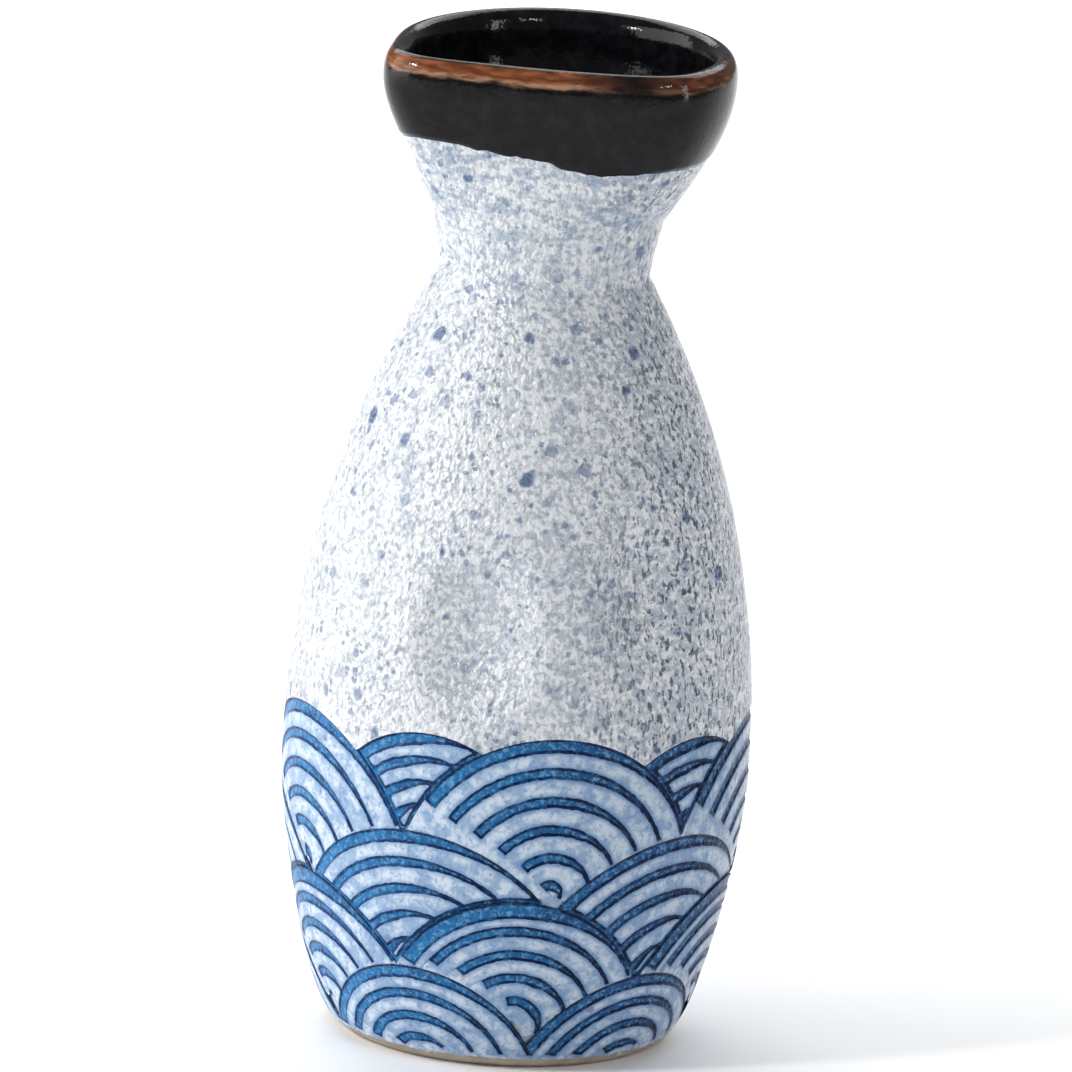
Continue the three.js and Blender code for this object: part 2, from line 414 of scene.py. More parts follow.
@dataclass(frozen=True)
class WaveGlaze:
    """The wave band: pale lavender ground, and cut lines in which blue glaze has pooled."""

    body: PaleGlaze = PaleGlaze()
    pale: Colour = (0.56, 0.65, 0.74)
    lavender: Colour = (0.19, 0.31, 0.50)
    bright: Colour = (0.016, 0.155, 0.38)
    deep: Colour = (0.006, 0.035, 0.13)
    line: Colour = (0.001, 0.006, 0.030)
    halo: Colour = (0.12, 0.25, 0.48)
    # A lighter blue, painted as highlight streaks in the pooled lines.
    streak: Colour = (0.15, 0.36, 0.58)
    line_width: float = 0.34

    def ground(self, bench: Bench, place: Value) -> Value:
        """The pale ground between the lines, mottled with lavender and a few flecks.

        Args:
            bench: the material's bench.
            place: the place, in millimetres.

        Returns:
            The colour.
        """
        mottle = bench.cloud(place, 2.6, 3.0, 0.6).rise(0.40, 0.62)
        colour = bench.blend(mottle * 0.75, self.pale, self.lavender)
        grains = bench.cloud(bench.shaken(place, 0.9, 0.3), 0.75, 2.0, 0.6).rise(0.50, 0.66)
        colour = bench.blend(grains * 0.5, colour, self.halo)
        flecks = bench.spots(bench.shaken(place, 1.1, 0.4), 3.4, 0.35, 0.08, 0.26)
        return bench.blend(flecks * 0.6, colour, self.body.fleck)

    def material(self, lines: bool) -> bpy.types.Material:
        """Builds the material.

        Args:
            lines: whether the mesh carries the wave lines' attributes.

        Returns:
            The material.
        """
        bench = Bench("wave_glaze_lines" if lines else "wave_glaze_ground")
        place = bench.place()
        colour = self.ground(bench, place)
        gloss: Number = bench.cloud(place, 3.0, 2.0) * 0.1 + 0.1
        normal = self.body.peel(bench, place, 0.45)
        if lines:
            shake = (bench.cloud(place, 1.3, 3.0, 0.65) - 0.5) * 0.55
            edge = bench.attribute("across").most(bench.attribute("ends"), 0.25)
            edge = edge.least(bench.attribute("border"), 0.35) + shake
            along = bench.attribute("along")
            side = bench.axis(place, "X")
            inside = edge.fall(0.02, 0.12)
            worn = bench.cloud(place, 1.7, 2.0, 0.6).rise(0.36, 0.56) * 0.45 + 0.55
            # Outlines widen towards +X: painted shade on the side away from the key light.
            wide = edge + side.rise(-6.0, 34.0) * 0.16
            outline = wide.rise(-self.line_width - 0.1, -self.line_width + 0.06) * worn
            drift = bench.cloud(place, 2.4, 3.0, 0.6) - 0.5
            # The pooled blue is lighter towards -X and darker towards +X: painted light and shade from the
            # key on the left.
            depth = (along * 0.7 + drift * 2.0 + 0.35).rise(0.1, 0.9) * side.fall(-32.0, 44.0)
            pool_and_painted_light = bench.blend(depth, self.deep, self.bright)
            # Lighter streaks in the pooled blue: painted highlights.
            painted_highlight_streaks = bench.cloud(bench.shaken(place, 0.8, 0.4), 0.8, 3.0, 0.7).rise(0.47, 0.66)
            pool_and_painted_light = bench.blend(painted_highlight_streaks * 0.7, pool_and_painted_light, self.streak)
            # Outlines are lighter towards -X: painted light from the key on the left.
            outline_colour_and_painted_light = bench.blend(side.fall(-30.0, 12.0) * 0.8, self.line, self.deep)
            pool_and_painted_light = bench.blend(outline, pool_and_painted_light, outline_colour_and_painted_light)
            # The blue halo round the lines grows towards +X: partly real bleed, partly painted shade.
            halo_and_side_shade = edge.fall(0.0, 0.85) * (side.rise(-30.0, 10.0) * 0.35 + 0.5)
            colour = bench.blend(halo_and_side_shade, colour, self.halo)
            # The ground darkens towards +X: painted shade on the side away from the key light.
            colour = bench.blend(side.rise(-20.0, 34.0) * 0.24, colour, self.deep)
            colour = bench.blend(inside, colour, pool_and_painted_light)
            gloss = gloss + inside * 0.2
        sockets = {
            "Base Color": colour,
            "Roughness": gloss,
            "IOR": 1.5,
            "Specular IOR Level": 0.12,
            "Normal": normal,
        }
        return bench.finish(sockets)


@dataclass(frozen=True)
class DarkGlaze:
    """The near-black glaze of the mouth and the inside, which breaks to rust brown on the lip."""

    black: Colour = (0.003, 0.003, 0.004)
    cool: Colour = (0.009, 0.009, 0.011)
    rust: Colour = (0.115, 0.034, 0.014)
    amber: Colour = (0.30, 0.105, 0.045)
    ochre: Colour = (0.42, 0.27, 0.18)

    def material(self, lip: bool) -> bpy.types.Material:
        """Builds the material.

        Args:
            lip: whether the mesh carries the lip's attributes.

        Returns:
            The material.
        """
        bench = Bench("dark_glaze_mouth" if lip else "dark_glaze_lining")
        place = bench.place()
        mottled = bench.cloud(place, 2.2, 4.0, 0.6).rise(0.4, 0.7)
        colour = bench.blend(mottled, self.black, self.cool)
        if lip:
            over = bench.attribute("over_lip") + (bench.cloud(place, 4.0, 3.0) - 0.5) * 1.6
            band = over.rise(0.9, 1.5) * over.fall(3.2, 4.2)
            strength = bench.attribute("rust")
            streak = bench.cloud(bench.stretched(place, (0.5, 0.5, 2.4)), 1.6, 3.0).rise(0.35, 0.7)
            brown = bench.blend(streak * 0.9, self.rust, self.amber)
            colour = bench.blend(band * strength, colour, brown)
            thin = over.rise(2.9, 3.4) * over.fall(3.6, 4.3) * strength
            colour = bench.blend(thin * streak * 0.6, colour, self.ochre)
        peel = bench.cloud(place, 0.8, 2.0)
        sockets = {
            "Base Color": colour,
            "Roughness": bench.cloud(place, 2.0, 2.0) * 0.1 + 0.05,
            "IOR": 1.45,
            "Specular IOR Level": 0.22,
            "Normal": bench.relief(peel, 0.05),
        }
        return bench.finish(sockets)


@dataclass(frozen=True)
class BareClay:
    """Fired stoneware without glaze, as on the foot ring: warm grey, gritty and matt."""

    buff: Colour = (0.42, 0.36, 0.29)
    iron: Colour = (0.20, 0.13, 0.08)

    def material(self) -> bpy.types.Material:
        """Builds the material.

        Returns:
            The material.
        """
        bench = Bench("bare_clay")
        place = bench.place()
        grit = bench.spots(bench.shaken(place, 0.8, 0.2), 1.1, 0.3, 0.08, 0.3)
        body = bench.blend(bench.cloud(place, 4.0, 4.0).rise(0.4, 0.7) * 0.5, self.buff, self.iron)
        sockets = {
            "Base Color": bench.blend(grit * 0.7, body, self.iron),
            "Roughness": bench.cloud(place, 1.0) * 0.2 + 0.7,
            "Normal": bench.relief(bench.cloud(place, 0.5, 3.0, 0.7), 0.06),
        }
        return bench.finish(sockets)


@dataclass(frozen=True)
class TablePaper:
    """The pale matt surface that the bottle stands on."""

    white: Colour = (0.97, 0.97, 0.97)

    def material(self) -> bpy.types.Material:
        """Builds the material.

        Returns:
            The material.
        """
        bench = Bench("table_paper")
        tooth = bench.cloud(bench.place(), 2.0, 3.0)
        sockets = {
            "Base Color": bench.blend(tooth, self.white, (0.99, 0.99, 0.99)),
            "Roughness": 0.85,
            "Normal": bench.relief(tooth, 0.02),
        }
        return bench.finish(sockets)


# ---- Form ----


def smooth(value: Array, low: float, high: float) -> Array:
    """Goes smoothly from 0 at low to 1 at high."""
    t = np.clip((value - low) / (high - low), 0.0, 1.0)
    return t * t * (3.0 - 2.0 * t)


def turn_between(angle: Array, other: float) -> Array:
    """The turn from one angle to another, between -pi and pi."""
    return (angle - other + math.pi) % (2.0 * math.pi) - math.pi


@dataclass(frozen=True)
class Dent:
    """A finger dent in the belly."""

    angle: float
    height: float
    half_width: float
    half_height: float
    depth: float


@dataclass(frozen=True)
class Form:
    """The outside of the bottle, which every coat follows at its own depth."""

    height: float
    belly_radius: float
    foot_radius: float = 24.3
    belly_height: float = 42.0
    neck_radius: float = 14.1
    neck_drop: float = 32.0
    collar_radius: float = 25.45
    collar_drop: float = 4.0
    foot_round: float = 4.0
    belly_rise: float = 13.6
    shoulder_rise: float = 46.8
    neck_below: float = 1.3
    neck_above: float = 2.3
    collar_below: float = 10.3
    straight_lip: float = 0.6
    flat_distance: float = 17.2
    flat_angle: float = -98.0
    flat_sharpness: float = 8.0
    squeeze_drop: float = 8.0
    spout_reach: float = 2.0
    spout_angle: float = -157.7
    spout_width: float = 16.0
    spout_drop: float = 20.0
    lip_tilt: float = 1.65
    collar_lean: float = 1.1
    dents: Tuple[Dent, ...] = (
        Dent(-101.5, 66.7, 20.0, 15.5, 3.7),
        Dent(-57.0, 72.6, 18.0, 17.0, 2.2),
    )
    steps: int = 600
    outline: Array = field(init=False, repr=False, compare=False)
    run: Array = field(init=False, repr=False, compare=False)

    def __post_init__(self) -> None:
        """Works out the outline's points and the length of the wall up to each of them."""
        points = self._outline()
        legs = np.hypot(*np.diff(points, axis=0).T)
        object.__setattr__(self, "outline", points)
        object.__setattr__(self, "run", np.concatenate([[0.0], np.cumsum(legs)]))

    @property
    def neck_height(self) -> float:
        """The height of the neck's narrowest place."""
        return self.height - self.neck_drop

    @property
    def collar_height(self) -> float:
        """The height of the collar's widest place."""
        return self.height - self.collar_drop

    @property
    def lip_start(self) -> float:
        """The height where the lip begins to turn over."""
        return self.collar_height + self.straight_lip

    def _outline(self) -> Array:
        """The outline from the foot to the lip, as radius and height.

        Returns:
            An array of points, two numbers each.
        """
        foot = (self.foot_radius, 0.0)
        belly = (self.belly_radius, self.belly_height)
        neck = (self.neck_radius, self.neck_height)
        collar = (self.collar_radius, self.collar_height)
        curves = [
            (foot, (foot[0] + self.foot_round, 0.0), (belly[0], belly[1] - self.belly_rise), belly),
            (belly, (belly[0], belly[1] + self.shoulder_rise), (neck[0], neck[1] - self.neck_below), neck),
            (neck, (neck[0], neck[1] + self.neck_above), (collar[0], collar[1] - self.collar_below), collar),
        ]
        t = np.linspace(0.0, 1.0, self.steps)[:, None]
        weights = ((1 - t) ** 3, 3 * t * (1 - t) ** 2, 3 * t * t * (1 - t), t**3)
        pieces = [sum(w * np.array(p) for w, p in zip(weights, curve)) for curve in curves]
        top = np.array([[self.collar_radius, self.height]])
        return np.concatenate([pieces[0], pieces[1][1:], pieces[2][1:], top])

    def radius(self, height: Array) -> Array:
        """The outline's radius at a height."""
        return np.interp(height, self.outline[:, 1], self.outline[:, 0])

    def run_at(self, height: Array) -> Array:
        """The length of the wall from the foot up to a height."""
        return np.interp(height, self.outline[:, 1], self.run)

    def height_at(self, run: Array) -> Array:
        """The height reached after a length of wall."""
        return np.interp(run, self.run, self.outline[:, 1])

    def squeezed(self, angle: Array) -> Array:
        """The radius of the squeezed lip: the collar's circle blended with the flat's straight line.

        Args:
            angle: angles in radians.

        Returns:
            Radii in millimetres.
        """
        facing = np.maximum(np.cos(turn_between(angle, math.radians(self.flat_angle))), 0.0)
        circle = self.collar_radius**-self.flat_sharpness
        flat = (facing / self.flat_distance) ** self.flat_sharpness
        return (circle + flat) ** (-1.0 / self.flat_sharpness)

    def push(self, angle: Array, height: Array) -> Array:
        """How far the wall is pushed out; a push inwards is negative.

        Args:
            angle: angles in radians.
            height: heights in millimetres.

        Returns:
            The push in millimetres.
        """
        squeeze = smooth(height, self.neck_height, self.height - self.squeeze_drop)
        total = squeeze * (self.squeezed(angle) - self.collar_radius)
        aside = turn_between(angle, math.radians(self.spout_angle)) / math.radians(self.spout_width)
        spout = smooth(height, self.height - self.spout_drop, self.collar_height)
        total = total + self.spout_reach * spout * np.exp(-(aside**2))
        for dent in self.dents:
            across = turn_between(angle, math.radians(dent.angle)) / math.radians(dent.half_width)
            reach = np.minimum(np.hypot(across, (height - dent.height) / dent.half_height), 1.0)
            total = total - dent.depth * (1.0 - reach**2) ** 2
        return total

    def put(self, angle: Array, radius: Array, height: Array) -> Array:
        """Puts points of a turned shape on the pushed form.

        Args:
            angle: angles in radians.
            radius: radii before the push.
            height: heights.

        Returns:
            Points in metres, three numbers each.
        """
        pushed = np.where(radius > 0.0, radius + self.push(angle, height), 0.0)
        lean = self.collar_lean * smooth(height, self.neck_height, self.height - self.squeeze_drop)
        facing = (1.0 + np.cos(turn_between(angle, math.radians(self.flat_angle)))) / 2.0
        tilt = self.lip_tilt * facing * smooth(height, self.neck_height, self.collar_height)
        x, y = pushed * np.cos(angle) + lean, pushed * np.sin(angle)
        return np.stack([x, y, np.broadcast_to(height - tilt, x.shape)], axis=-1) * MM

    def on_wall(self, angle: Array, height: Array, depth: Array) -> Array:
        """Points that lie at a depth under the outline."""
        return self.put(angle, self.radius(height) - depth, height)


@dataclass(frozen=True)
class Layers:
    """The thickness of each layer, and the depth at which it lies under the outline."""

    form: Form
    pale_coat: float = 0.45
    dark_step: float = 0.2
    lining_coat: float = 0.5
    clearance: float = 0.3
    body_wall: float = 3.6
    lip_wall: float = 2.5
    floor: float = 5.5
    floor_round: float = 8.0
    foot_ring_width: float = 4.0
    foot_recess: float = 1.4
    bare_foot: float = 2.0
    lining_above_neck: float = 8.0

    @property
    def clay_face(self) -> float:
        """The depth of the clay's outside."""
        return self.pale_coat + self.clearance

    def clay_outside(self, height: Array) -> Array:
        """The depth of the clay's outside at each height."""
        return np.full_like(height, self.clay_face)

    def clay_inside(self, height: Array) -> Array:
        """The depth of the clay's inside."""
        thin = smooth(height, self.form.neck_height, self.form.collar_height)
        return self.clay_face + self.body_wall + (self.lip_wall - self.body_wall) * thin

    def lining_outside(self, height: Array) -> Array:
        """The depth of the lining's back."""
        return self.clay_inside(height) + self.clearance

    def lining_inside(self, height: Array) -> Array:
        """The depth of the lining's face."""
        return self.lining_outside(height) + self.lining_coat

    def lip(self, outer: float, inner: float, top: float, steps: int) -> Array:
        """The round of a lip, from the outside over the top to the inside.

        Args:
            outer: the depth of its outside.
            inner: the depth of its inside.
            top: its height.
            steps: how many points it would have with both its ends.

        Returns:
            Radius and height, two numbers a point.
        """
        form = self.form
        middle = form.collar_radius - (outer + inner) / 2.0
        turn = np.linspace(0.0, math.pi, steps)[1:-1]
        x = middle + (inner - outer) / 2.0 * np.cos(turn)
        y = form.lip_start + (top - form.lip_start) * np.sin(turn)
        return np.stack([x, y], axis=-1)


@dataclass(frozen=True)
class DipEdge:
    """The lower edge of the dark coat: its drop, its slope to one side, its slow drips and its ragged run."""

    form: Form
    drop: float = 14.7
    slope: Tuple[float, float] = (1.2, -165.0)
    drips: Tuple[Tuple[float, int, float], ...] = ((-0.75, 3, -74.0), (-0.3, 7, -72.0))
    ragged: float = 0.28

    def __call__(self, angle: Array) -> Array:
        """The edge's height at each angle.

        Args:
            angle: angles in radians.

        Returns:
            Heights in millimetres.
        """
        amount, towards = self.slope
        height = self.form.height - self.drop + amount * np.cos(angle - math.radians(towards))
        for size, count, start in self.drips:
            height = height + size * np.cos(count * (angle - math.radians(start)))
        points = np.stack([np.cos(angle), np.sin(angle), np.zeros_like(angle)], axis=-1)
        return height + self.ragged * field_noise(points * self.form.collar_radius, 2.2)


def field_noise(points: Array, grain: float) -> Array:
    """Smooth noise from -1 to 1 at points in space.

    Args:
        points: points in millimetres, three numbers each.
        grain: the noise's grain in millimetres.

    Returns:
        One number for each point.
    """
    flat = points.reshape(-1, 3) / grain
    found = [noise.noise(Vector(p)) for p in flat]
    return np.array(found).reshape(points.shape[:-1])


# ---- Meshes ----


@dataclass
class Sheet:
    """A grid of points: rows follow a profile, columns go round."""

    points: Array
    wraps: bool = True
    closes: bool = False
    marks: Dict[str, Array] = field(default_factory=dict)
    keep: Optional[Array] = None

    def _quads(self) -> Array:
        """The corner numbers of every four-sided face.

        Returns:
            An array with four numbers a face.
        """
        rows, columns = self.points.shape[:2]
        r = np.arange(rows if self.closes else rows - 1)
        c = np.arange(columns if self.wraps else columns - 1)
        row, column = np.meshgrid(r, c, indexing="ij")
        up, right = (row + 1) % rows, (column + 1) % columns
        corners = [row * columns + column, row * columns + right, up * columns + right, up * columns + column]
        quads = np.stack(corners, axis=-1).reshape(-1, 4)
        if self.keep is not None:
            quads = quads[self.keep.reshape(-1)[quads].any(axis=1)]
        return quads

    def build(self, name: str, sharp: float = 50.0) -> bpy.types.Object:
        """Makes the object.

        Args:
            name: the object's name.
            sharp: edges with a steeper turn than this many degrees stay sharp.

        Returns:
            The object, linked to the scene.
        """
        quads = self._quads()
        used, compact = np.unique(quads, return_inverse=True)
        quads = compact.reshape(quads.shape)
        points = self.points.reshape(-1, 3)[used]
        mesh = bpy.data.meshes.new(name)
        mesh.vertices.add(len(points))
        mesh.vertices.foreach_set("co", points.astype(np.float32).ravel())
        mesh.loops.add(quads.size)
        mesh.loops.foreach_set("vertex_index", quads.astype(np.int32).ravel())
        mesh.polygons.add(len(quads))
        mesh.polygons.foreach_set("loop_start", np.arange(0, quads.size, 4, dtype=np.int32))
        mesh.update(calc_edges=True)
        for mark, values in self.marks.items():
            layer = mesh.attributes.new(mark, "FLOAT", "POINT")
            layer.data.foreach_set("value", values.reshape(-1)[used].astype(np.float32))
        mesh.validate()
        mesh.shade_smooth()
        mesh.set_sharp_from_angle(angle=math.radians(sharp))
        piece = bpy.data.objects.new(name, mesh)
        bpy.context.scene.collection.objects.link(piece)
        return piece


def round_angles(count: int) -> Array:
    """Evenly spaced angles once round, in radians."""
    return np.arange(count) * (2.0 * math.pi / count)


class Slot(Enum):
    """The record's material slots."""

    STONEWARE = "stoneware"
    DARK = "dark_glaze"
    PALE = "pale_glaze"
    WAVE = "wave_glaze"


def dress(piece: bpy.types.Object, material: bpy.types.Material, slot: Slot, *nodes: str) -> None:
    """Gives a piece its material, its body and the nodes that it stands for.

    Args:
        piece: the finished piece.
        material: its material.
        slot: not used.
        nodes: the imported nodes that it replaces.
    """
    piece.data.materials.append(material)
    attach(piece, BODY)
    if nodes:
        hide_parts(*nodes)
    LOG.info("%s: %d faces, stands for %s", piece.name, len(piece.data.polygons), nodes or "no node")


# ---- The wave fans ----


@dataclass(frozen=True)
class Fan:
    """One fan of the wave pattern, drawn on the wall rolled out flat.

    Its lines are arcs about one centre. Each starts thick at its left end and thins out to the right.
    """

    radius: float
    lines: int
    pitch: float
    layer: int
    linked: bool = False
    stretch: float = 1.0
    outer_line: float = 2.0
    start_gaps: Tuple[float, ...] = (0.9, 1.3, 1.6, 1.7)
    inner_line: float = 1.6
    thin_end: float = 0.55
    angle: float = 0.0
    top: float = 0.0

    @property
    def centre(self) -> float:
        """The length of wall up to the arcs' centre."""
        return self.top - self.radius

    def polar(self, form: Form, angle: Array, run: Array) -> Tuple[Array, Array]:
        """The distance and direction of points from the centre, on the wall rolled out flat.

        Args:
            form: the bottle's form.
            angle: the points' angles in radians.
            run: the lengths of wall up to the points.

        Returns:
            Distances in millimetres, and directions in radians from the right over the top.
        """
        girth = form.radius(form.height_at(run))
        x = turn_between(angle, math.radians(self.angle)) * girth / self.stretch
        y = run - self.centre
        return np.hypot(x, y), np.arctan2(y, x)

    def spread(self, form: Form, distance: Array, direction: Array) -> Tuple[Array, Array]:
        """The angle and run of points given about the centre.

        Args:
            form: the bottle's form.
            distance: distances from the centre.
            direction: directions in radians.

        Returns:
            Angles in radians, and lengths of wall.
        """
        run = self.centre + distance * np.sin(direction)
        girth = form.radius(form.height_at(run))
        angle = math.radians(self.angle) + distance * np.cos(direction) * self.stretch / girth
        return angle, run


@dataclass(frozen=True)
class WaveRing:
    """One row of like fans round the bottle, each at its own angle and height."""

    pattern: Fan
    angles: Tuple[float, ...]
    tops: Tuple[float, ...]

    def fans(self) -> List[Fan]:
        """The row's fans, in the order of their angles."""
        return [replace(self.pattern, angle=angle, top=top) for angle, top in zip(self.angles, self.tops)]


WAVE_RINGS = (
    WaveRing(
        Fan(18.0, 4, 3.5, 0, linked=True),
        (-112.0, -40.0, 32.0, 103.0, 173.0),
        (54.2, 53.6, 53.8, 54.3, 53.5),
    ),
    WaveRing(
        Fan(23.5, 6, 4.3, 1, start_gaps=(4.6, 3.0, 2.3, 2.0, 1.8)),
        (-154.0, -79.5, -7.0, 65.0, 136.0),
        (53.6, 54.9, 54.2, 53.9, 54.6),
    ),
    WaveRing(
        Fan(23.0, 5, 4.2, 2, linked=True, stretch=1.05),
        (-114.5, -43.0, 29.0, 101.0, 172.0),
        (39.2, 38.7, 39.0, 38.5, 39.4),
    ),
    WaveRing(
        Fan(19.8, 6, 3.85, 3, outer_line=2.5),
        (-153.0, -86.5, -15.0, 59.0, 133.0),
        (28.0, 29.7, 29.0, 28.6, 29.4),
    ),
    WaveRing(
        Fan(15.6, 4, 3.75, 4, stretch=1.1),
        (-116.0, -47.5, 25.0, 97.0, 170.0),
        (17.4, 16.9, 17.2, 16.7, 17.5),
    ),
)


@dataclass
class WaveField:
    """All the fans, which of them lie in front of which, and the edge that their tops make."""

    form: Form
    rings: Tuple[WaveRing, ...] = WAVE_RINGS
    bottom: float = 3.6
    fans: List[Fan] = field(init=False)

    def __post_init__(self) -> None:
        """Lists the fans of all the rings, from the back to the front."""
        self.fans = [fan for ring in self.rings for fan in ring.fans()]

    def edge(self, angle: Array) -> Array:
        """The height of the highest fan at each angle.

        Args:
            angle: angles in radians.

        Returns:
            Heights in millimetres.
        """
        best = np.zeros_like(angle)
        for fan in self.fans:
            guess = np.full_like(angle, fan.top)
            for _ in range(3):
                girth = self.form.radius(self.form.height_at(guess))
                x = turn_between(angle, math.radians(fan.angle)) * girth / fan.stretch
                inside = np.abs(x) < fan.radius * 0.98
                guess = fan.centre + np.sqrt(np.maximum(fan.radius**2 - x**2, 0.0))
            best = np.maximum(best, np.where(inside, guess, 0.0))
        return self.form.height_at(best)

    def clear_of_front(self, fan: Fan, angle: Array, run: Array) -> Array:
        """How far points lie outside the fans that are in front of one.

        Args:
            fan: the fan behind.
            angle: the points' angles in radians.
            run: the lengths of wall up to the points.

        Returns:
            Distances in millimetres, which are negative inside a fan.
        """
        gap = np.full(np.broadcast(angle, run).shape, 99.0)
        for other in self.fans:
            if other.layer > fan.layer:
                gap = np.minimum(gap, other.polar(self.form, angle, run)[0] - other.radius)
        return gap


@dataclass
class FanPiece:
    """A fan as a raised scale of the wave band, with its lines cut into it."""

    waves: WaveField
    fan: Fan
    number: int
    turn_step: float = 1.0
    link_width: float = 0.75
    cut_depth: float = 0.16
    base_depth: float = 0.34
    layer_lift: float = 0.06
    tuck: float = 0.24
    hidden: float = 0.6
    foot_fade: Tuple[float, float] = (3.0, 7.0)
    cut_fade: Tuple[float, float] = (3.0, 5.5)

    def _rows(self) -> Array:
        """Each row's line number, and its place: -1 outer edge, 1 inner edge, 3 the next line's start."""
        places = (-1.0, -0.8, -0.5, 0.0, 0.5, 0.8, 1.0, 1.3, 2.0, 2.7)
        return np.array([(line, p) for line in range(self.fan.lines) for p in places])

    def _line_ends(self) -> Array:
        """The direction in which each line starts, on the left, and ends, on the right.

        Returns:
            One pair of directions in radians for each line; a hidden line has a pair of equal ones.
        """
        fan, form = self.fan, self.waves.form
        directions = np.radians(np.arange(-30.0, 211.0, 0.25))
        ends = []
        for line in range(fan.lines):
            distance = fan.radius - fan.outer_line / 2 - line * fan.pitch
            angle, run = fan.spread(form, np.full_like(directions, distance), directions)
            clear = self.waves.clear_of_front(fan, angle, run)
            left_gap = -9.0 if fan.linked else fan.start_gaps[min(line, len(fan.start_gaps) - 1)]
            gap = np.where(directions > math.pi / 2, left_gap, 0.25)
            seen = (clear > gap) & (run > self.waves.bottom)
            shown = directions[seen & (clear > 0.0)]
            if len(shown) < 8:
                ends.append((0.0, 0.0))
                continue
            left = shown.max() if not fan.linked else shown.max() + 3.0 / distance
            ends.append((left, shown.min()))
        return np.array(ends)

    def build(self, material: bpy.types.Material) -> bpy.types.Object:
        """Builds and dresses the fan.

        Args:
            material: the wave glaze with lines.

        Returns:
            The piece.
        """
        fan, form = self.fan, self.waves.form
        directions = np.radians(np.arange(-30.0, 210.0 + self.turn_step, self.turn_step))
        ends = self._line_ends()
        rows = self._rows()
        line = rows[:, 0].astype(int)
        place = rows[:, 1][:, None]
        left, right = ends[line, 0][:, None], ends[line, 1][:, None]
        shown = (left - right) > 1e-6
        along = np.where(shown, (directions[None] - right) / np.maximum(left - right, 1e-6), 0.5)
        thick = np.where(line == 0, fan.outer_line, fan.inner_line)[:, None]
        width = fan.thin_end + (thick - fan.thin_end) * smooth(along, 0.0, 0.5)
        outer = fan.radius - line[:, None] * fan.pitch
        inner = outer - width
        past = np.clip((place - 1.0) / 2.0, 0.0, 1.0)
        within = outer - width * (np.minimum(place, 1.0) + 1.0) / 2.0
        distance = np.where(place <= 1.0, within, inner + (outer - fan.pitch - inner) * past)
        distance = np.maximum(distance, 0.2)
        across = np.where(place <= 1.0, np.maximum(within - outer, inner - within), 0.0)
        gap = (outer - fan.pitch - inner) * -1.0
        across = np.where(place > 1.0, np.minimum(past, 1.0 - past) * gap, across)
        across = np.where(shown, across, 2.0)
        over_left = (directions[None] - left) * distance
        over_right = (right - directions[None]) * distance
        overrun = np.where(shown, np.maximum(over_left, over_right), 2.0)
        angle, run = fan.spread(form, distance, np.broadcast_to(directions[None], distance.shape))
        clear = self.waves.clear_of_front(fan, angle, run)
        border = clear - self.link_width if fan.linked else np.full_like(clear, 9.0)
        edge = np.minimum(np.maximum(across, overrun), border)
        cut = self.cut_depth * smooth(-edge, -0.02, 0.42) * smooth(run, *self.cut_fade)
        lift = self.layer_lift * fan.layer * smooth(run, *self.foot_fade)
        tuck = self.tuck * smooth(-clear, 0.0, 0.25)
        depth = self.base_depth - lift + cut + tuck
        height = form.height_at(run)
        points = form.on_wall(angle, height, depth)
        skirt = form.on_wall(angle[:1], height[:1], depth[:1] + 0.3)
        marks = {"across": across, "ends": overrun, "border": border, "along": np.clip(along, 0.0, 1.0)}
        marks = {name: np.concatenate([values[:1], values]) for name, values in marks.items()}
        keep = (clear > -self.hidden) & (run > self.foot_fade[0]) & (run < fan.top + 1.0)
        keep = np.concatenate([keep[:1], keep])
        sheet = Sheet(np.concatenate([skirt, points]), wraps=False, marks=marks, keep=keep)
        piece = sheet.build(f"wave_fan_{self.number:02d}")
        dress(piece, material, Slot.WAVE)
        return piece


# ---- The coats ----


@dataclass
class BodyGlaze:
    """The pale coat from the wave band's scalloped edge up to the dark coat."""

    layers: Layers
    low: Edge
    high: Edge
    columns: int = 400
    rows: int = 232
    uneven: float = 0.10
    peel: float = 0.035

    def build(self, material: bpy.types.Material) -> bpy.types.Object:
        """Builds and dresses the coat.

        Args:
            material: the pale glaze.

        Returns:
            The piece.
        """
        form = self.layers.form
        angle = round_angles(self.columns)[None]
        share = np.linspace(0.0, 1.0, self.rows)[:, None]
        low = form.run_at(self.low(angle[0]))[None]
        high = form.run_at(self.high(angle[0]))[None]
        height = form.height_at(low + (high - low) * share)
        face = form.on_wall(angle, height, np.zeros_like(height))
        inward = np.minimum(share, 1.0 - share) * 30.0
        relief = self.uneven * field_noise(face / MM, 14.0) + self.peel * field_noise(face / MM, 2.4)
        depth = 0.1 - relief * np.clip(inward, 0.0, 1.0)
        face = form.on_wall(angle, height, depth)
        back = form.on_wall(angle, height[:: -self.rows // 8], np.full((1, 1), self.layers.pale_coat))
        piece = Sheet(np.concatenate([face, back]), closes=True).build("body_glaze_skin")
        dress(piece, material, Slot.PALE, "body_glaze")
        return piece


